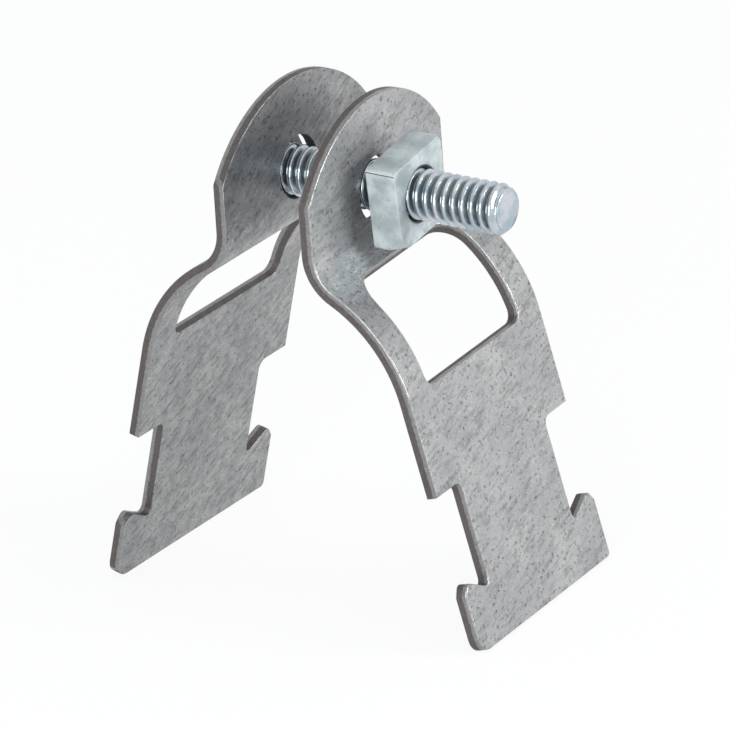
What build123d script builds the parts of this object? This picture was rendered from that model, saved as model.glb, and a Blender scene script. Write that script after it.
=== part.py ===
from build123d import *
import os
from math import cos, degrees, radians, sin, sqrt, tan

# Millimetres. X runs along the screw from its head to its tail, Y along the pipe, Z up.
# The clamp stands on its feet, with the origin under the middle of its bounding box.

# Sheet of one strap
strap_width = 31.75
sheet = 1.52

# Side view of one strap, from the ear down to the foot
ear_crown_height = 11.5
ear_corner_height = 3.1
ear_drop = 3.1
bend_radius = 5.1
bend_angle = 60.4
seat_radius = 18.45
seat_angle = 46.8
leg_length = 12.0
foot_length = 20.2

# Window punched through the pipe seat
window_side_strip = 4.35
window_bottom_land = 0.5
window_top_radius = 3.0
window_bottom_radius = 1.4

# Notches that take the lips of the strut channel, and the hooks under them
lip_reach = 5.525
notch_depth = 13.5
notch_corner_radius = 1.2
hook_inset = 1.0
hook_rise = 2.2
hook_flank = 1.5
hook_tip_radius = 0.7
foot_corner_radius = 1.4

# Screw, quarter inch with twenty threads to the inch
screw_diameter = 6.3
screw_length = 31.75
tip_flat_diameter = 5.1
tip_chamfer_length = 0.7
head_across_flats = 9.5
head_height = 4.0
head_bevel = 0.9
drive_slot_width = 1.5
drive_slot_depth = 1.5
drive_cross_length = 5.6
drive_cross_width = 1.3
drive_cross_depth = 2.2

# Square nut
nut_across_flats = 11.1
nut_thickness = 4.1
nut_edge_radius = 0.8
nut_bevel = 0.5
nut_mouth = 0.6
nut_turn = 7.0

# Clearances, and how the loose clamp stands
hole_clearance = 0.82
thread_clearance = 0.05
ear_gap = 9.4
head_play = 0.95
nut_play = 2.25
screw_sag = 0.5
nut_strap_lean = 1.5
head_strap_lean = -0.85
strap_yaw = 1.86

half_width = strap_width / 2
screw_radius = screw_diameter / 2
hole_radius = screw_radius + hole_clearance


# Side view of a strap, with the hole's centre at the origin, X outward and Y up


def face_path(lift):
    """Ear, bend, pipe seat and leg of the sheet's face that lies lift outward of its inner face."""
    ear = Line((lift, ear_crown_height), (lift, -ear_drop))
    bend = JernArc(ear @ 1, ear % 1, bend_radius + sheet - lift, bend_angle)
    seat = JernArc(bend @ 1, bend % 1, seat_radius + lift, -seat_angle)
    leg = Line(seat @ 1, seat @ 1 + (leg_length + foot_length) * (seat % 1))
    return [ear, bend, seat, leg]


def side_section(lines):
    """Face that the lines enclose, stood up in the plane of the side view."""
    return Plane.XZ * make_face(lines)


def bent_strip():
    """Plain strip of sheet, bent to the side view."""
    inner = face_path(0)
    outer = face_path(sheet)
    top = Line(inner[0] @ 0, outer[0] @ 0)
    bottom = Line(inner[3] @ 1, outer[3] @ 1)
    return extrude(side_section([*inner, *outer, top, bottom]), half_width, both=True)


def ear_waste():
    """What is cut away above the ear's two corners, outside its rounded crown."""
    rise = ear_crown_height - ear_corner_height
    crown_radius = (half_width**2 + rise**2) / (2 * rise)
    above = Pos(0, 0, ear_corner_height + rise) * Box(4 * sheet, 2 * strap_width, 2 * rise)
    disc = Rot(0, 90, 0) * Cylinder(crown_radius, 6 * sheet)
    return above - Pos(0, 0, ear_crown_height - crown_radius) * disc


def window_waste():
    """Wedge with its ends square to the curved seat, so that the window's walls are punched ones."""
    pipe_centre = face_path(0)[2].center_point
    sweep = seat_angle - degrees(window_bottom_land / seat_radius)
    near = CenterArc(pipe_centre, seat_radius - 2 * sheet, bend_angle, -sweep)
    far = CenterArc(pipe_centre, seat_radius + 3 * sheet, bend_angle, -sweep)
    ends = [Line(near @ 0, far @ 0), Line(near @ 1, far @ 1)]
    wedge = extrude(side_section([near, far, *ends]), half_width - window_side_strip, both=True)
    straight = wedge.edges().filter_by(GeomType.LINE)
    corners = (straight - straight.filter_by(Axis.Y)).sort_by(Axis.Z)
    bottom_places = [edge.center() for edge in corners[:2]]
    wedge = fillet(corners[2:], window_top_radius)
    corners = [wedge.edges().sort_by_distance(place)[0] for place in bottom_places]
    return fillet(corners, window_bottom_radius)


def leg_plane():
    """Leg's inner face, with its origin at the shoulder, X along the strap's width and Y up the leg."""
    leg = face_path(0)[3]
    shoulder = leg @ 0 + leg_length * (leg % 0)
    down = leg % 0
    return Plane((shoulder.X, 0, shoulder.Y), x_dir=(0, 1, 0), z_dir=(-down.Y, 0, down.X))


def through_leg(sketch):
    """Cutter that goes through the leg, with its copy at the strap's other edge."""
    cutter = extrude(leg_plane() * sketch, 3 * sheet, both=True)
    return cutter + mirror(cutter, Plane.XZ)


def notch_waste():
    """Notch under the shoulder for a channel lip, down to the hook's sloping top."""
    neck = half_width - lip_reach
    floor = -notch_depth
    tip = (half_width - hook_inset, floor + hook_rise)
    past_edge = (half_width + hook_inset, floor + hook_rise - 2 * hook_flank)
    outline = Polyline((past_edge[0], 0), (neck, 0), (neck, floor), tip, past_edge, close=True)
    notch = make_face(outline)
    notch = fillet(notch.vertices().sort_by_distance(tip)[0], hook_tip_radius)
    return through_leg(fillet(notch.vertices().group_by(Axis.X)[0], notch_corner_radius))


def foot_corner_waste():
    """Sliver outside the foot's rounded corner."""
    size = foot_corner_radius
    square = Pos(half_width, -foot_length) * Rectangle(2 * size, 2 * size)
    return through_leg(square - Pos(half_width - size, size - foot_length) * Circle(size))


def strap_blank():
    """One strap with its hole's centre on the ear's inner face at the origin."""
    hole = Rot(0, 90, 0) * Cylinder(hole_radius, 6 * sheet)
    strap = bent_strip() - ear_waste() - window_waste() - hole
    return strap - notch_waste() - foot_corner_waste()


# How the straps stand: each leans a little, and both are turned on the screw so that their far edges meet first


def hole_height(lean):
    """Height of a strap's hole above the inner edge of its foot, when the strap leans."""
    foot = face_path(0)[3] @ 1
    angle = radians(lean)
    return -foot.Y * cos(angle) - foot.X * sin(angle)


def standing_strap(blank, lean, turn, across):
    """The blank leaned about its hole, turned about the upright axis and set over the pipe."""
    place = Pos(across, 0, hole_height(lean)) * Rot(0, 0, turn) * Rot(0, -lean, 0)
    return place * blank


# Turned and cold-headed pieces, along the screw's axis from the origin


def turned(points):
    """Solid of revolution about X from (distance along, radius) points."""
    return revolve(side_section(Polyline(*points, close=True)), Axis.X)


def bevelled_blank(corner_radius, length, bevel):
    """Round blank with a thirty degree bevel that falls by bevel at the corner radius."""
    shoulder = length - bevel
    flat_radius = corner_radius - bevel / tan(radians(30))
    return turned([(0, 0), (0, corner_radius), (shoulder, corner_radius), (length, flat_radius), (length, 0)])


def shank():
    """Plain shank at the thread's outer diameter, with its chamfered tip."""
    cone = screw_length - tip_chamfer_length
    tip_radius = tip_flat_diameter / 2
    end = [(screw_length, tip_radius), (screw_length, 0)]
    return turned([(-head_height / 2, 0), (-head_height / 2, screw_radius), (cone, screw_radius), *end])


def drive_recess():
    """Straight slot across the head and a cross in its middle, cut in from the head's end."""
    slot = Box(2 * drive_slot_depth, 2 * head_across_flats, drive_slot_width)
    wing = Box(2 * drive_cross_depth, drive_cross_width, drive_cross_length)
    return Pos(-head_height, 0, 0) * (slot + wing + Rot(90, 0, 0) * wing)


def screw():
    """Hexagonal head behind the origin and the shank in front of it."""
    hexagon = Plane.YZ * RegularPolygon(head_across_flats / 2, 6, major_radius=False)
    corner_radius = head_across_flats / sqrt(3)
    crown = Rot(0, 180, 0) * bevelled_blank(corner_radius, head_height, head_bevel)
    head = extrude(hexagon, -head_height) & crown
    return head + shank() - drive_recess()


def square_nut():
    """Square nut with its back face on the origin."""
    square = RectangleRounded(nut_across_flats, nut_across_flats, nut_edge_radius)
    corner_radius = (nut_across_flats / 2 - nut_edge_radius) * sqrt(2) + nut_edge_radius
    blank = bevelled_blank(corner_radius, nut_thickness, nut_bevel)
    bore = screw_radius + thread_clearance
    mouth = bore + nut_mouth
    inside = turned([(-nut_mouth, 0), (-nut_mouth, mouth + nut_mouth), (nut_mouth, bore),
                     (nut_thickness - nut_mouth, bore), (nut_thickness + nut_mouth, mouth + nut_mouth),
                     (nut_thickness + nut_mouth, 0)])
    return extrude(Plane.YZ * square, nut_thickness) & blank - inside


def clamp():
    """The four pieces by name, standing on the origin."""
    blank = strap_blank()
    across = ear_gap / 2
    screw_height = hole_height(head_strap_lean) - screw_sag
    head_face = -across - sheet - head_play
    nut_face = across + sheet + nut_play
    pieces = {
        "nut_side_strap": standing_strap(blank, nut_strap_lean, strap_yaw, across),
        "head_side_strap": standing_strap(blank, head_strap_lean, 180 - strap_yaw, -across),
        "screw": Pos(head_face, 0, screw_height) * screw(),
        "square_nut": Pos(nut_face, 0, screw_height) * Rot(nut_turn, 0, 0) * square_nut(),
    }
    middle = Compound(list(pieces.values())).bounding_box().center()
    return {name: Pos(-middle.X, -middle.Y, 0) * piece for name, piece in pieces.items()}


os.makedirs("parts", exist_ok=True)
for name, piece in clamp().items():
    piece.label = name
    export_step(piece, f"parts/{name}.step")
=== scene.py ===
from math import atan, ceil, cos, pi, radians, sin, sqrt, tan

import bmesh
import bpy
from mathutils import Matrix, Vector


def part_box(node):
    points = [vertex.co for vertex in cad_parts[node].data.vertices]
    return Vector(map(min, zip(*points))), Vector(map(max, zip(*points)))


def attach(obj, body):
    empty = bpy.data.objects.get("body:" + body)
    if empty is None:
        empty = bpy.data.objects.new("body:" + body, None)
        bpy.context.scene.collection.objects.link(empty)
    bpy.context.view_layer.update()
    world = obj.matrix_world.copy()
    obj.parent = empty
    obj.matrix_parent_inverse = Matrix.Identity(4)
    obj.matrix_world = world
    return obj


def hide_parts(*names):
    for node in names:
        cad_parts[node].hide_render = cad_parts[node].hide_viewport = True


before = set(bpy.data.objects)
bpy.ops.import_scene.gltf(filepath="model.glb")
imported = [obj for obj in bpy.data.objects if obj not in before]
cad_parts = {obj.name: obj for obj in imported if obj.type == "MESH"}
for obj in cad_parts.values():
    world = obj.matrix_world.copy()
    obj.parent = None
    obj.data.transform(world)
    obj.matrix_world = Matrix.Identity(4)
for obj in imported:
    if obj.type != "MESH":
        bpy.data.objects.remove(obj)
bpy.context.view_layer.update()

MM = 0.001

# Strap as a flat sheet: x runs across it, y up it from the screw hole, and z from its inner face
# to its outer one
sheet = 1.52 * MM
half_width = 31.75 / 2 * MM
ear_crown_height = 11.5 * MM
ear_corner_height = 3.1 * MM
ear_drop = 3.1 * MM
bend_radius = 5.1 * MM
bend_angle = radians(60.4)
seat_radius = 18.45 * MM
seat_angle = radians(46.8)
leg_length = 12.0 * MM
foot_length = 20.2 * MM
hole_radius = 3.97 * MM
window_side_strip = 4.62 * MM
window_bottom_land = 0.5 * MM
window_top_radius = 3.8 * MM
window_bottom_radius = 1.4 * MM
lip_reach = 5.525 * MM
notch_depth = 13.5 * MM
notch_corner_radius = 1.2 * MM
hook_inset = 1.0 * MM
hook_rise = 2.2 * MM
hook_flank = 1.5 * MM
hook_tip_radius = 0.7 * MM
foot_near_radius = 2.0 * MM
foot_far_radius = 0.6 * MM

# Cut edges of the sheet: rolled over at its outer face and sharper at its inner one. The walls
# within slit_reach of the strap's long edges were slit, down to slit_foot_gap above the foot's end
rolled_edge = 0.2 * MM
burred_edge = 0.07 * MM
slit_reach = 0.3 * MM
slit_foot_gap = 0.1 * MM

# How the straps stand
nut_strap_lean = radians(1.5)
head_strap_lean = radians(-0.85)
strap_yaw = radians(1.86)

# Thread; trough_power above 1 makes its troughs wider than its crests
screw_radius = 3.15 * MM
thread_pitch = 1.27 * MM
thread_depth = 0.72 * MM
crest_width = 0.2 * MM
crest_round = 0.02 * MM
trough_power = 1.25
tip_radius = 2.55 * MM
tip_chamfer_length = 0.7 * MM

# Head, and how far behind its underside the thread begins and the shank ends
head_across_flats = 9.5 * MM
head_height = 4.0 * MM
head_bevel = 0.9 * MM
head_bevel_slope = radians(30)
head_soft_edge = 0.12 * MM
head_sharp_angle = radians(20)
drive_slot_width = 1.5 * MM
drive_slot_depth = 1.5 * MM
drive_cross_length = 5.6 * MM
drive_cross_width = 1.3 * MM
drive_cross_depth = 2.2 * MM
thread_lead = 0.5 * MM
shank_overlap = 0.4 * MM

# Nut. Its long edges and front corners are unequal: by side along Y and by bottom or top, how
# wide each long edge's bevel is, and how far each front corner falls short
nut_across_flats = 10.75 * MM
nut_thickness = 4.1 * MM
nut_bore_radius = 3.2 * MM
nut_mouth = 0.6 * MM
nut_turn = radians(7.0)
nut_soft_edge = 0.1 * MM
nut_soft_angle = radians(12)
# Width of the line of painted shade along the fold under the nut's top left edge
nut_fold_width = 0.07 * MM
nut_corner_slant = 0.8
nut_long_edges = {(-1, 1): 0.4 * MM, (1, 1): 0.25 * MM, (-1, -1): 0.2 * MM, (1, -1): 0.2 * MM}
nut_corner_falls = {(-1, -1): 1.05 * MM, (1, 1): 0.45 * MM, (-1, 1): 0.2 * MM, (1, -1): 0.3 * MM}

# Fineness of the meshes
crown_steps = 36
hole_steps = 72
corner_steps = 8
window_top_steps = 10
foot_far_steps = 5
rim_steps = 3
row_length = 0.6 * MM
profile_steps = 10
turn_steps = 72
bore_steps = 64
mouth_steps = 3

# Tolerances: when two places, or a place and a row, count as one, how near the points that are
# welded lie, how far a point of the bore may be off its radius, and the angle between two faces
# that count as one plane
same_place = 1e-6
same_row = 1e-7
strap_weld = 0.002 * MM
thread_weld = 0.004 * MM
bore_slack = 0.01 * MM
same_plane = radians(0.4)

# Camera, fitted to the photograph
camera_azimuth = radians(32.86)
camera_elevation = radians(23.28)
camera_roll = radians(-2.82)
camera_distance = 1447.5 * MM
camera_aim = Vector((1.96, 0.0, 27.5)) * MM
picture_width = 729
lens_in_pixels = 12000
sensor_width = 36

# Bend and seat as run along the sheet's inner face, and the heights on the flat strap at which
# each stretch of it ends
bend_row_radius = bend_radius + sheet
bend_run = bend_row_radius * bend_angle
seat_run = seat_radius * seat_angle
bend_end = -ear_drop - bend_run
seat_end = bend_end - seat_run
shoulder = seat_end - leg_length
foot_end = shoulder - foot_length


# Meshes

def shown(name, bm):
    """Object for a finished bmesh."""
    mesh = bpy.data.meshes.new(name)
    bm.to_mesh(mesh)
    bm.free()
    piece = bpy.data.objects.new(name, mesh)
    bpy.context.scene.collection.objects.link(piece)
    return piece


def smooth_piece(name, bm, weight, keep_sharp=False):
    """Object for a finished bmesh, shaded smooth with its larger faces kept flat."""
    for face in bm.faces:
        face.smooth = True
    piece = shown(name, bm)
    even = piece.modifiers.new("even shading", "WEIGHTED_NORMAL")
    even.weight = weight
    even.keep_sharp = keep_sharp
    return piece


def taken(piece):
    """Bmesh of an object with its modifiers applied; the object is removed."""
    graph = bpy.context.evaluated_depsgraph_get()
    mesh = bpy.data.meshes.new_from_object(piece.evaluated_get(graph))
    bm = bmesh.new()
    bm.from_mesh(mesh)
    bpy.data.meshes.remove(mesh)
    bpy.data.objects.remove(piece)
    return bm


def block(size, middle=(0, 0, 0)):
    """Box of a size, about its middle."""
    bm = bmesh.new()
    bmesh.ops.create_cube(bm, size=1)
    bmesh.ops.scale(bm, verts=bm.verts, vec=size)
    bmesh.ops.translate(bm, verts=bm.verts, vec=middle)
    return bm


def rod(radius, length, sides):
    """Rod along z about the origin, with its corners at the radius."""
    bm = bmesh.new()
    bmesh.ops.create_cone(bm, cap_ends=True, segments=sides, radius1=radius, radius2=radius,
                          depth=length)
    return bm


def cut_away(bm, cutter):
    """What is left of bm outside the cutter."""
    blank = shown("blank", bm)
    tool = shown("punch", cutter)
    cut = blank.modifiers.new("cut", "BOOLEAN")
    cut.object = tool
    cut.operation = "DIFFERENCE"
    cut.solver = "EXACT"
    left = taken(blank)
    bpy.data.objects.remove(tool)
    return left


def trim(bm, point, normal):
    """Cut off what lies beyond the plane on its normal's side, and close the cut."""
    everything = bm.verts[:] + bm.edges[:] + bm.faces[:]
    cut = bmesh.ops.bisect_plane(bm, geom=everything, plane_co=point, plane_no=normal,
                                 clear_outer=True)
    rim = [edge for edge in cut["geom_cut"] if isinstance(edge, bmesh.types.BMEdge)]
    if rim:
        bmesh.ops.contextual_create(bm, geom=rim)


def round_edges(bm, edges, size, steps):
    """Round the edges over, starting a size away from each."""
    bmesh.ops.bevel(bm, geom=edges, offset=size, offset_type="OFFSET", segments=steps,
                    affect="EDGES", profile=0.5, material=-1)


def split_large_faces(bm):
    """Triangulate the faces that have more than four corners."""
    bmesh.ops.triangulate(bm, faces=[face for face in bm.faces if len(face.verts) > 4])


# Straps

def corner_edges(bm, corners):
    """Edges along z that stand on the given (x, y) corners."""
    found = []
    for edge in bm.edges:
        a, b = (vert.co for vert in edge.verts)
        if (a - b).xy.length < same_place:
            if any((a.xy - Vector(corner)).length < same_place for corner in corners):
                found.append(edge)
    return found


def punch(outline):
    """Upright cutter through the sheet, of the outline's shape."""
    bm = bmesh.new()
    ring = [bm.verts.new((x, y, -sheet)) for x, y in outline]
    face = bm.faces.new(ring)
    lifted = bmesh.ops.extrude_face_region(bm, geom=[face])["geom"]
    tops = [item for item in lifted if isinstance(item, bmesh.types.BMVert)]
    bmesh.ops.translate(bm, verts=tops, vec=(0, 0, 3 * sheet))
    bmesh.ops.recalc_face_normals(bm, faces=bm.faces)
    return bm


def window_punch():
    """Window through the pipe seat, its top corners rounder than its bottom ones."""
    side = half_width - window_side_strip
    top = bend_end
    bottom = seat_end + window_bottom_land
    tops = [(-side, top), (side, top)]
    bottoms = [(side, bottom), (-side, bottom)]
    bm = punch(tops + bottoms)
    round_edges(bm, corner_edges(bm, tops), window_top_radius, window_top_steps)
    round_edges(bm, corner_edges(bm, bottoms), window_bottom_radius, corner_steps)
    return bm


def notch_punch(side):
    """Notch at one edge, from the shoulder down to the hook's sloping top."""
    neck = half_width - lip_reach
    floor = shoulder - notch_depth
    tip = (side * (half_width - hook_inset), floor + hook_rise)
    past = side * (half_width + hook_inset)
    below = floor + hook_rise - 2 * hook_flank
    corners = [(side * neck, shoulder), (side * neck, floor)]
    bm = punch([(past, shoulder), *corners, tip, (past, below)])
    round_edges(bm, corner_edges(bm, corners), notch_corner_radius, corner_steps)
    round_edges(bm, corner_edges(bm, [tip]), hook_tip_radius, corner_steps)
    return bm


def flat_strap(near):
    """The strap before it is bent; near is 1 or -1, the edge that will be in front."""
    length = ear_crown_height - foot_end
    middle = (ear_crown_height + foot_end) / 2
    bm = block((2 * half_width, length, sheet), (0, middle, sheet / 2))
    near_corner = (near * half_width, foot_end)
    far_corner = (-near * half_width, foot_end)
    round_edges(bm, corner_edges(bm, [near_corner]), foot_near_radius, corner_steps)
    round_edges(bm, corner_edges(bm, [far_corner]), foot_far_radius, foot_far_steps)
    round_crown(bm)
    hole = rod(hole_radius, 3 * sheet, hole_steps)
    for cutter in (hole, window_punch(), notch_punch(1), notch_punch(-1)):
        bm = cut_away(bm, cutter)
    bmesh.ops.remove_doubles(bm, verts=bm.verts, dist=strap_weld)
    bmesh.ops.dissolve_limit(bm, angle_limit=same_plane, verts=bm.verts, edges=bm.edges)
    return bm


def round_crown(bm):
    """Trim the ear's end to an arc from one corner of the ear to the other."""
    rise = ear_crown_height - ear_corner_height
    crown_radius = (half_width ** 2 + rise ** 2) / (2 * rise)
    reach = atan(half_width / (crown_radius - rise))
    centre = Vector((0, ear_crown_height - crown_radius, 0))
    for step in range(crown_steps):
        angle = reach * (2 * step + 1 - crown_steps) / crown_steps
        outward = Vector((sin(angle), cos(angle), 0))
        trim(bm, centre + crown_radius * outward, outward)


def is_wall(face):
    """Whether a face of the flat sheet is one of its cut walls."""
    return abs(face.normal.z) < 0.5


def soften_rim(bm, level, size):
    """Round the cut's edge on the face that lies at a level."""
    rim = []
    for edge in bm.edges:
        on_level = all(abs(vert.co.z - level) <= same_place for vert in edge.verts)
        if on_level and len(edge.link_faces) == 2 and any(map(is_wall, edge.link_faces)):
            rim.append(edge)
    round_edges(bm, rim, size, rim_steps)


def rule_rows(bm):
    """Cross lines at which the sheet can bend."""
    rows = ceil((bend_run + seat_run) / row_length)
    for row in range(rows + 1):
        level = -ear_drop - (bend_run + seat_run) * row / rows
        everything = bm.verts[:] + bm.edges[:] + bm.faces[:]
        bmesh.ops.bisect_plane(bm, geom=everything, plane_co=(0, level, 0), plane_no=(0, 1, 0),
                               dist=same_row)


def bent(point):
    """Place of a point of the flat strap on the bent one: outward, across, up."""
    across, up, lift = point
    run = -ear_drop - up
    if run <= 0:
        return Vector((lift, across, up))
    angle = min(run / bend_row_radius, bend_angle)
    normal = Vector((cos(angle), 0, sin(angle)))
    centre = Vector((bend_row_radius, 0, -ear_drop))
    place = centre - (bend_row_radius - lift) * normal
    if run > bend_run:
        pipe_centre = centre - (bend_row_radius + seat_radius) * normal
        angle = bend_angle - min((run - bend_run) / seat_radius, seat_angle)
        normal = Vector((cos(angle), 0, sin(angle)))
        place = pipe_centre + (seat_radius + lift) * normal
    if run > bend_run + seat_run:
        down = Vector((sin(angle), 0, -cos(angle)))
        place += (run - bend_run - seat_run) * down
    return place + Vector((0, across, 0))


def note_the_press(bm, slit_entry):
    """Keep each point's flat place and depth in the sheet, and the depth its wall was cut from."""
    flat = bm.verts.layers.float_vector.new("flat")
    depth = bm.verts.layers.float.new("depth")
    entry = bm.verts.layers.float.new("entry")
    for vert in bm.verts:
        vert[flat] = vert.co / MM
        vert[depth] = vert.co.z / sheet
        beside = abs(vert.co.x) > half_width - slit_reach
        slit = beside and vert.co.y > foot_end + slit_foot_gap
        vert[entry] = slit_entry if slit else 1


def strap(node, lean, turn, near, slit_entry):
    """One strap, punched, bent and set on its node; slit_entry is the depth that its long edges
    were slit from, 1 for the sheet's outer face and 0 for its inner one."""
    bm = flat_strap(near)
    soften_rim(bm, sheet, rolled_edge)
    soften_rim(bm, 0, burred_edge)
    rule_rows(bm)
    note_the_press(bm, slit_entry)
    for vert in bm.verts:
        vert.co = bent(vert.co)
    place = Matrix.Rotation(turn, 4, "Z") @ Matrix.Rotation(-lean, 4, "Y")
    bmesh.ops.transform(bm, matrix=place, verts=bm.verts)
    split_large_faces(bm)
    centre_on(bm, node)
    return smooth_piece(node + ".pressed", bm, weight=80)


def centre_on(bm, node):
    """Move the mesh so that its box has the same centre as the node's."""
    low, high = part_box(node)
    middle = (low + high) / 2
    for axis in range(3):
        places = [vert.co[axis] for vert in bm.verts]
        offset = Vector((0, 0, 0))
        offset[axis] = middle[axis] - (min(places) + max(places)) / 2
        bmesh.ops.translate(bm, verts=bm.verts, vec=offset)


# Screw

def thread_profile():
    """One pitch of the thread as (distance along, radius), from one trough's middle to the next."""
    root = screw_radius - thread_depth
    half = thread_pitch / 2
    flank = []
    for step in range(profile_steps):
        share = step / (profile_steps - 1)
        rise = (1 - cos(pi * share)) / 2
        flank.append((share * (half - crest_width / 2), root + thread_depth * rise ** trough_power))
    crest = screw_radius + crest_round
    left = flank + [(half - crest_width / 4, crest), (half, crest)]
    return left + [(thread_pitch - along, radius) for along, radius in reversed(left[:-1])]


def thread(start, end):
    """Helical surface along x that reaches past start and end and is open at both."""
    bm = bmesh.new()
    turns = ceil((end - start) / thread_pitch) + 2
    first = start - thread_pitch
    ring = [bm.verts.new((first + along, 0, radius)) for along, radius in thread_profile()]
    edges = [bm.edges.new(pair) for pair in zip(ring, ring[1:])]
    bmesh.ops.spin(bm, geom=ring + edges, cent=(0, 0, 0), axis=(1, 0, 0), angle=2 * pi,
                   dvec=(thread_pitch / turn_steps, 0, 0), steps=turn_steps, use_merge=False,
                   use_normal_flip=False, use_duplicate=False)
    one_turn = bm.verts[:] + bm.edges[:] + bm.faces[:]
    for turn in range(1, turns):
        copied = bmesh.ops.duplicate(bm, geom=one_turn)["geom"]
        points = [item for item in copied if isinstance(item, bmesh.types.BMVert)]
        bmesh.ops.translate(bm, verts=points, vec=(turn * thread_pitch, 0, 0))
    bmesh.ops.remove_doubles(bm, verts=bm.verts, dist=thread_weld)
    return bm


def shank(underside, tip):
    """Threaded shank along x, chamfered at its tip and reaching a little way into the head."""
    bm = thread(underside - thread_lead, tip)
    slope = (screw_radius - tip_radius) / tip_chamfer_length
    for vert in bm.verts:
        radius = vert.co.yz.length
        limit = screw_radius + crest_round - slope * max(vert.co.x - tip + tip_chamfer_length, 0)
        if radius > limit:
            vert.co.yz *= limit / radius
    trim(bm, (tip, 0, 0), (1, 0, 0))
    trim(bm, (underside - shank_overlap, 0, 0), (-1, 0, 0))
    bmesh.ops.recalc_face_normals(bm, faces=bm.faces)
    return bm


def hexagonal_head():
    """Head along z, with a sloping crown, and a slot and a cross sunk in its end."""
    corner_radius = head_across_flats / sqrt(3)
    bm = rod(corner_radius, head_height, sides=6)
    upright = []
    for edge in bm.edges:
        a, b = (vert.co for vert in edge.verts)
        if abs(a.z - b.z) > head_height / 2:
            upright.append(edge)
    round_edges(bm, upright, head_soft_edge, steps=2)
    flat_radius = corner_radius - head_bevel / tan(head_bevel_slope)
    end = Vector((0, 0, head_height / 2))
    for step in range(turn_steps):
        around = 2 * pi * step / turn_steps
        outward = Vector((cos(around), sin(around), 0))
        normal = outward * sin(head_bevel_slope) + Vector((0, 0, cos(head_bevel_slope)))
        trim(bm, outward * flat_radius + end, normal)
    slot = (drive_slot_width, 2 * head_across_flats, 2 * drive_slot_depth)
    wing = (drive_cross_width, drive_cross_length, 2 * drive_cross_depth)
    other_wing = (drive_cross_length, drive_cross_width, 2 * drive_cross_depth)
    for size in (slot, wing, other_wing):
        bm = cut_away(bm, block(size, end))
    bmesh.ops.triangulate(bm, faces=bm.faces)
    for edge in bm.edges:
        edge.smooth = edge.calc_face_angle(0) < head_sharp_angle
    return bm


def join(bm, other):
    """Add what the other bmesh holds to bm; the other one is freed."""
    mesh = bpy.data.meshes.new("joined")
    other.to_mesh(mesh)
    other.free()
    bm.from_mesh(mesh)
    bpy.data.meshes.remove(mesh)


def screw():
    """Threaded shank along the nut's axis, and the head behind it."""
    low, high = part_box("square_nut")
    axis = (low + high) / 2
    low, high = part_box("screw")
    underside = low.x + head_height
    tip = high.x
    bm = shank(underside, tip)
    bmesh.ops.translate(bm, verts=bm.verts, vec=(0, axis.y, axis.z))
    head = hexagonal_head()
    middle = Matrix.Translation((underside - head_height / 2, axis.y, axis.z))
    bmesh.ops.transform(head, matrix=middle @ Matrix.Rotation(-pi / 2, 4, "Y"), verts=head.verts)
    join(bm, head)
    split_large_faces(bm)
    # Painted shade in the thread's troughs: this value, 0 at the crests and 1 at the roots, darkens
    # the zinc towards its root colour
    painted_shade = bm.verts.layers.float.new("painted_shade")
    for vert in bm.verts:
        on_shank = underside < vert.co.x < tip - tip_chamfer_length
        depth = (screw_radius - (vert.co - axis).yz.length) / thread_depth
        vert[painted_shade] = min(max(depth, 0), 1) if on_shank else 0
    return smooth_piece("screw.threaded", bm, weight=60, keep_sharp=True)


# Nut

def nut_blank():
    """Square blank along x, with its unequal long edges and front corners."""
    half = nut_across_flats / 2
    outer = half * 0.9
    bm = block((nut_thickness, nut_across_flats, nut_across_flats))
    for (side, top), size in nut_long_edges.items():
        long_edge = []
        for edge in bm.edges:
            if all(vert.co.y * side > outer and vert.co.z * top > outer for vert in edge.verts):
                long_edge.append(edge)
        round_edges(bm, long_edge, size, steps=2)
    for (side, top), fall in nut_corner_falls.items():
        corner = Vector((nut_thickness / 2, side * half, top * half))
        normal = Vector((nut_corner_slant, side, top)).normalized()
        trim(bm, corner - normal * fall, normal)
    soft = [edge for edge in bm.edges if edge.calc_face_angle(0) > nut_soft_angle]
    round_edges(bm, soft, nut_soft_edge, steps=3)
    return bm


def drill_nut(bm):
    """The nut with its bore and the countersunk mouths of the bore."""
    bore = rod(nut_bore_radius, 2 * nut_thickness, bore_steps)
    bmesh.ops.rotate(bore, verts=bore.verts, cent=(0, 0, 0), matrix=Matrix.Rotation(pi / 2, 3, "Y"))
    bm = cut_away(bm, bore)
    mouths = []
    for edge in bm.edges:
        a, b = (vert.co for vert in edge.verts)
        on_bore = all(abs(place.yz.length - nut_bore_radius) < bore_slack for place in (a, b))
        if on_bore and abs(a.x - b.x) < same_place:
            mouths.append(edge)
    round_edges(bm, mouths, nut_mouth, mouth_steps)
    return bm


def nut():
    """Square nut with unequal corners, with painted shade in its bore and a dark line of painted
    shade, as of a crack, along the fold under one top edge.
    """
    low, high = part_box("square_nut")
    half = nut_across_flats / 2
    bm = drill_nut(nut_blank())
    split_large_faces(bm)
    fold = half - nut_long_edges[(-1, 1)]
    # Painted shade: the bore with its mouths, and a thin line on the left face just under its top
    # long edge, get the value 1, which paints them in the nut's near-black root colour
    painted_shade = bm.verts.layers.float.new("painted_shade")
    for vert in bm.verts:
        in_bore = vert.co.yz.length < nut_bore_radius + nut_mouth * 0.8
        on_left = vert.co.y < nut_soft_edge / 2 - half
        on_fold = on_left and abs(vert.co.z - fold) < nut_fold_width
        vert[painted_shade] = 1 if in_bore or on_fold else 0
    bmesh.ops.rotate(bm, verts=bm.verts, cent=(0, 0, 0), matrix=Matrix.Rotation(nut_turn, 3, "X"))
    bmesh.ops.translate(bm, verts=bm.verts, vec=(low + high) / 2)
    return smooth_piece("square_nut.forged", bm, weight=80)


# Materials

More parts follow.
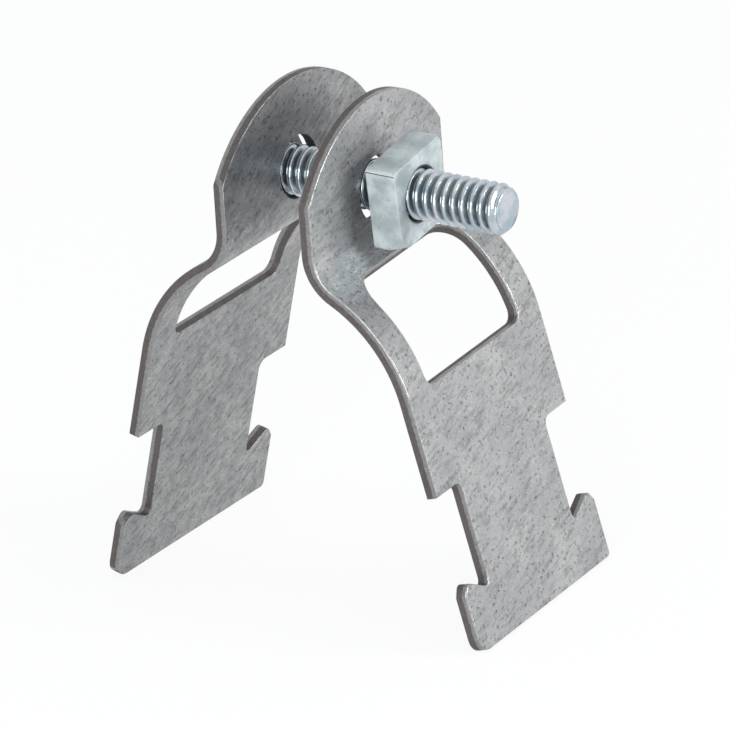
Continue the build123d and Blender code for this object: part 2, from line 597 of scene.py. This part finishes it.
def node(tree, kind, **settings):
    """Shader node; a setting named in_NAME or in_NUMBER sets or links that socket."""
    made = tree.nodes.new("ShaderNode" + kind)
    for key, value in settings.items():
        if not key.startswith("in_"):
            setattr(made, key, value)
    for key, value in settings.items():
        if key.startswith("in_"):
            name = key[3:]
            socket = made.inputs[int(name) if name.isdigit() else name.replace("_", " ")]
            if isinstance(value, bpy.types.NodeSocket):
                tree.links.new(value, socket)
            else:
                socket.default_value = value
    return made


def calc(tree, operation, *values):
    """Result of a math node's operation on one or two values."""
    sockets = {f"in_{i}": value for i, value in enumerate(values)}
    return node(tree, "Math", operation=operation, **sockets).outputs[0]


def product(tree, *values):
    """The values multiplied with each other."""
    result = values[0]
    for value in values[1:]:
        result = calc(tree, "MULTIPLY", result, value)
    return result


def one_minus(tree, value):
    """What is left of 1 when the value is taken from it."""
    return calc(tree, "SUBTRACT", 1.0, value)


def ramp(tree, value, low, high):
    """0 below low, 1 above high, smooth between them."""
    made = node(tree, "MapRange", interpolation_type="SMOOTHSTEP", in_0=value, in_1=low, in_2=high)
    return made.outputs[0]


def between(tree, share, first, second):
    """Number that goes from first at 0 to second at 1."""
    return node(tree, "MapRange", in_0=share, in_3=first, in_4=second).outputs[0]


def mix(tree, share, first, second):
    """Colour that goes from first at 0 to second at 1."""
    made = node(tree, "Mix", data_type="RGBA", in_0=share, in_6=first, in_7=second)
    return made.outputs[2]


def noise(tree, place, scale, detail=3.0, roughness=0.55):
    """Noise over the place; the larger the scale, the finer it is."""
    made = node(tree, "TexNoise", in_Vector=place, in_Scale=scale, in_Detail=detail,
                in_Roughness=roughness)
    return made.outputs[0]


def stretched(tree, place, turn, stretch):
    """The place drawn out along a direction in the sheet, for streaks."""
    made = node(tree, "Mapping", vector_type="TEXTURE", in_Vector=place, in_Rotation=(0, 0, turn),
                in_Scale=(stretch, 1, 1))
    return made.outputs[0]


def moved(tree, place, offset):
    """The place moved by an offset, for a pattern of its own."""
    return node(tree, "VectorMath", operation="ADD", in_0=place, in_1=offset).outputs[0]


def mesh_value(tree, name, socket="Fac"):
    """Value that the mesh keeps under a name."""
    return node(tree, "Attribute", attribute_name=name).outputs[socket]


def material(name):
    """New material with its node tree and shader."""
    made = bpy.data.materials.new(name)
    made.use_nodes = True
    tree = made.node_tree
    return made, tree, tree.nodes["Principled BSDF"]


def coat_colour(tree, flat, blotches, grain, tone_and_shade, streak_turn, streak_strength):
    """Mottled grey zinc: clouds, dark blotches, streaks, pale flecks, grain and dark specks."""
    def grey(level, blue):
        # The tone is the coat's overall level, and on the head-side strap it also holds painted
        # shade
        level *= tone_and_shade
        return (level, level * (1 + blue / 2), level * (1 + blue), 1)

    def stained(colour, stain, share, strength):
        return mix(tree, product(tree, share, strength), colour, stain)

    streak_place = stretched(tree, flat, streak_turn, stretch=4.2)
    fleck_place = moved(tree, flat, (7, 3, 11))
    clouds = noise(tree, flat, scale=0.14)
    clouds = ramp(tree, clouds, low=0.36, high=0.66)
    streaks = noise(tree, streak_place, scale=1.6, detail=5.0, roughness=0.7)
    streaks = ramp(tree, streaks, low=0.48, high=0.64)
    flecks = noise(tree, fleck_place, scale=2.0, roughness=0.6)
    flecks = ramp(tree, flecks, low=0.58, high=0.68)
    grit = ramp(tree, grain, low=0.48, high=0.7)
    specks = noise(tree, flat, scale=1.9, detail=4.0, roughness=0.65)
    specks = ramp(tree, specks, low=0.57, high=0.65)

    coat = mix(tree, clouds, grey(level=0.43, blue=0.05), grey(level=0.54, blue=0.01))
    coat = stained(coat, grey(level=0.3, blue=0.04), blotches, strength=0.5)
    coat = stained(coat, grey(level=0.19, blue=0.03), streaks, strength=streak_strength)
    coat = stained(coat, grey(level=0.74, blue=0.0), flecks, strength=0.4)
    coat = stained(coat, grey(level=0.26, blue=0.03), grit, strength=0.35)
    return stained(coat, grey(level=0.08, blue=0.05), specks, strength=0.8)


def torn_zone(tree, flat, depth):
    """Where a cut wall is torn: the part away from the face that it was cut from."""
    entry = mesh_value(tree, "entry")
    ragged = calc(tree, "SUBTRACT", noise(tree, flat, scale=1.4, detail=4.0, roughness=0.7), 0.5)
    cut_depth = calc(tree, "ABSOLUTE", calc(tree, "SUBTRACT", depth, entry))
    cut_depth = calc(tree, "ADD", cut_depth, product(tree, ragged, 0.3))
    return ramp(tree, cut_depth, low=0.36, high=0.42)


def wall_share(tree, depth):
    """1 on the cut walls and 0 on the sheet's faces."""
    off_inner = ramp(tree, depth, low=0.03, high=0.07)
    off_outer = ramp(tree, one_minus(tree, depth), low=0.03, high=0.07)
    return product(tree, off_inner, off_outer)


def galvanised(name, tone_and_shade, streak_turn, streak_strength, offset):
    """Zinc coat on rolled sheet, with bare walls, burnished and torn, where the press cut it."""
    made, tree, shader = material(name)
    flat = moved(tree, mesh_value(tree, "flat", "Vector"), offset)
    depth = mesh_value(tree, "depth")
    blotches = noise(tree, flat, scale=0.55, detail=6.0, roughness=0.7)
    blotches = ramp(tree, blotches, low=0.42, high=0.6)
    grain = noise(tree, flat, scale=4.0, roughness=0.7)
    coat = coat_colour(tree, flat, blotches, grain, tone_and_shade, streak_turn, streak_strength)

    burnish = mix(tree, noise(tree, flat, scale=2.2), (0.13, 0.125, 0.125, 1), (0.3, 0.3, 0.3, 1))
    tear = noise(tree, flat, scale=3.0, detail=4.0)
    tear = mix(tree, tear, (0.05, 0.043, 0.043, 1), (0.15, 0.135, 0.135, 1))
    torn = torn_zone(tree, flat, depth)
    wall = wall_share(tree, depth)
    colour = mix(tree, wall, coat, mix(tree, torn, burnish, tear))
    tree.links.new(colour, shader.inputs["Base Color"])

    shader.inputs["Metallic"].default_value = 0.68
    rough = between(tree, blotches, first=0.27, second=0.4)
    rough = calc(tree, "ADD", rough, product(tree, torn, wall, 0.25))
    tree.links.new(rough, shader.inputs["Roughness"])
    dent_place = stretched(tree, flat, streak_turn, stretch=1.8)
    dents = noise(tree, dent_place, scale=1.0, roughness=0.6)
    height = calc(tree, "ADD", product(tree, grain, 0.35), dents)
    bump = node(tree, "Bump", in_Height=height, in_Strength=0.6, in_Distance=0.05 * MM)
    tree.links.new(bump.outputs[0], shader.inputs["Normal"])
    return made


def zinc(name, pale, shade, root, metallic, roughness):
    """Bright zinc plate with a faint blue tint, darkened by painted shade where the mesh's painted
    shade value is high.
    """
    made, tree, shader = material(name)
    place = node(tree, "TexCoord").outputs["Object"]
    place = node(tree, "VectorMath", operation="SCALE", in_0=place, in_Scale=1 / MM).outputs[0]
    clouds = noise(tree, place, scale=0.35)
    clouds = ramp(tree, clouds, low=0.35, high=0.65)
    spots = noise(tree, place, scale=1.7, detail=4.0, roughness=0.65)
    spots = ramp(tree, spots, low=0.56, high=0.7)
    # Painted shade: where the mesh's value is high, the colour goes to the root colour, which the
    # dark spots also lean towards
    painted_shade = ramp(tree, mesh_value(tree, "painted_shade"), low=0.25, high=1.0)
    colour = mix(tree, clouds, shade, pale)
    colour = mix(tree, product(tree, spots, 0.3), colour, root)
    colour = mix(tree, painted_shade, colour, root)
    tree.links.new(colour, shader.inputs["Base Color"])
    shader.inputs["Metallic"].default_value = metallic
    rough = between(tree, noise(tree, place, scale=0.8, detail=2.0), roughness, roughness + 0.1)
    tree.links.new(rough, shader.inputs["Roughness"])
    return made


def floor_material():
    """Pale floor that shows almost white to the camera and to reflections, and keeps the shadow."""
    made, tree, shader = material("pale_floor")
    shader.inputs["Base Color"].default_value = (0.9, 0.9, 0.9, 1)
    shader.inputs["Roughness"].default_value = 1.0
    shader.inputs["Specular IOR Level"].default_value = 0.0
    light = node(tree, "Emission", in_Color=(1, 1, 1, 1), in_Strength=1.0)
    path = node(tree, "LightPath")
    seen = calc(tree, "MAXIMUM", path.outputs["Is Camera Ray"], path.outputs["Is Glossy Ray"])
    blend = node(tree, "MixShader", in_0=product(tree, seen, 0.88), in_1=shader.outputs[0],
                 in_2=light.outputs[0])
    tree.links.new(blend.outputs[0], tree.nodes["Material Output"].inputs["Surface"])
    return made


# Stage, light and camera

def floor():
    """Wide floor under the clamp."""
    bm = bmesh.new()
    bmesh.ops.create_grid(bm, x_segments=1, y_segments=1, size=3.0)
    piece = shown("floor", bm)
    piece.data.materials.append(floor_material())


def white_world():
    """White backdrop; the room in front of the clamp, where the camera stands, reflects darker."""
    world = bpy.data.worlds.new("studio")
    bpy.context.scene.world = world
    world.use_nodes = True
    tree = world.node_tree
    back = tree.nodes["Background"]
    path = node(tree, "LightPath")
    tint = mix(tree, path.outputs["Is Diffuse Ray"], (1, 1, 1, 1), (0.91, 0.97, 1.0, 1))
    tree.links.new(tint, back.inputs["Color"])
    direction = node(tree, "SeparateXYZ", in_0=node(tree, "TexCoord").outputs["Generated"])
    front = ramp(tree, product(tree, direction.outputs["Y"], -1.0), low=-0.1, high=0.45)
    below_top = one_minus(tree, ramp(tree, direction.outputs["Z"], low=0.2, high=0.75))
    room = one_minus(tree, product(tree, front, below_top, 0.6))
    strength = between(tree, path.outputs["Is Glossy Ray"], first=0.7, second=room)
    seen = calc(tree, "MAXIMUM", path.outputs["Is Camera Ray"], path.outputs["Is Transmission Ray"])
    strength = between(tree, seen, first=strength, second=1.0)
    tree.links.new(strength, back.inputs["Strength"])


def lamp(name, place, aim, size, power, colour):
    """Square lamp that faces what it is aimed at."""
    light = bpy.data.lights.new(name, "AREA")
    light.color = colour
    light.size = size
    light.energy = power
    piece = bpy.data.objects.new(name, light)
    bpy.context.scene.collection.objects.link(piece)
    piece.location = place
    piece.rotation_euler = (Vector(aim) - Vector(place)).to_track_quat("-Z", "Y").to_euler()


def camera():
    """Long lens aimed at the clamp, turned a little on its own axis."""
    level = cos(camera_elevation)
    outward = Vector((level * sin(camera_azimuth), -level * cos(camera_azimuth),
                      sin(camera_elevation)))
    data = bpy.data.cameras.new("camera")
    data.sensor_width = sensor_width
    data.lens = lens_in_pixels / picture_width * sensor_width
    data.clip_end = 20
    piece = bpy.data.objects.new("camera", data)
    bpy.context.scene.collection.objects.link(piece)
    piece.location = camera_aim + camera_distance * outward
    look = (-outward).to_track_quat("-Z", "Y").to_matrix() @ Matrix.Rotation(camera_roll, 3, "Z")
    piece.rotation_euler = look.to_euler()
    bpy.context.scene.camera = piece


def dressed(piece, body, cad_node, finish):
    """Give a piece its finish and its body, and hide the node that it stands for."""
    piece.data.materials.append(finish)
    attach(piece, body)
    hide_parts(cad_node)


nut_strap = strap("nut_side_strap", nut_strap_lean, strap_yaw, near=-1, slit_entry=1)
head_strap = strap("head_side_strap", head_strap_lean, pi - strap_yaw, near=1, slit_entry=0)
# Both straps have the same coat; the head-side strap's lower tone is painted shade
nut_side_coat = galvanised("galvanised_nut_side", tone_and_shade=0.78, streak_turn=radians(12),
                           streak_strength=0.6, offset=(0, 0, 0))
head_side_coat_shaded = galvanised("galvanised_head_side_shaded", tone_and_shade=0.63, streak_turn=radians(-28),
                            streak_strength=0.8, offset=(60, 25, 0))
# Each root colour is painted shade: of the thread's troughs on the screw, and of the bore and the
# fold on the nut
screw_plate = zinc("zinc_screw", pale=(0.58, 0.62, 0.66, 1), shade=(0.38, 0.46, 0.52, 1),
                   root=(0.2, 0.22, 0.22, 1), metallic=0.95, roughness=0.14)
nut_plate = zinc("zinc_nut", pale=(0.48, 0.53, 0.54, 1), shade=(0.31, 0.36, 0.375, 1),
                 root=(0.04, 0.05, 0.06, 1), metallic=0.3, roughness=0.3)
dressed(nut_strap, "nut_side_strap", "nut_side_strap", nut_side_coat)
dressed(head_strap, "head_side_strap", "head_side_strap", head_side_coat_shaded)
dressed(screw(), "screw", "screw", screw_plate)
dressed(nut(), "nut", "square_nut", nut_plate)

floor()
white_world()
lamp("key", place=(0.66, 0.25, 0.2), aim=(0, 0, 0.03), size=0.25, power=3.3,
     colour=(1.0, 0.985, 0.965))
lamp("fill", place=(0.22, -0.68, 0.2), aim=(0, 0, 0.03), size=0.5, power=6.0,
     colour=(1.0, 1.0, 1.0))
camera()
bpy.context.scene.view_settings.view_transform = "Standard"
